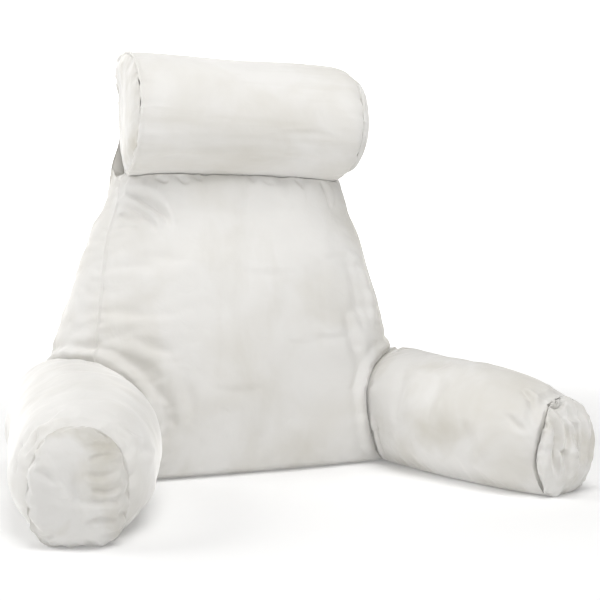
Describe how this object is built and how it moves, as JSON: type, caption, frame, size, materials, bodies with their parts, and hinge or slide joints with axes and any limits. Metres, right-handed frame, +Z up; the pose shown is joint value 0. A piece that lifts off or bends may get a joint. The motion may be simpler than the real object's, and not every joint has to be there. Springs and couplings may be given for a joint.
{
  "type": "reading pillow with arms",
  "caption": "Reading pillow with a wedge-shaped crowned back, two rounded arms that splay forwards and a round neck roll held on top by a cloth band.",
  "frame": {"origin": "on the surface the pillow stands on, at the centre of its bounding box", "axes": "+X across the pillow to the right as seen by someone who faces it, +Z up, and the sitter leans on the side that faces -Y"},
  "size_m": [0.6992, 0.5271, 0.5675],
  "materials": {
    "velvet": "short-pile velour, warm ivory white",
    "velvet_end_panel": "short-pile velour, warm ivory white",
    "band_cloth": "short-pile velour, warm ivory white"
  },
  "bodies": {
    "root": {"back_cushion": "velvet", "arm_left": "velvet", "arm_right": "velvet", "arm_end_left": "velvet_end_panel", "arm_end_right": "velvet_end_panel", "neck_roll": "velvet", "roll_end_left": "velvet_end_panel", "roll_end_right": "velvet_end_panel", "roll_band": "band_cloth"}
  },
  "joints": []
}
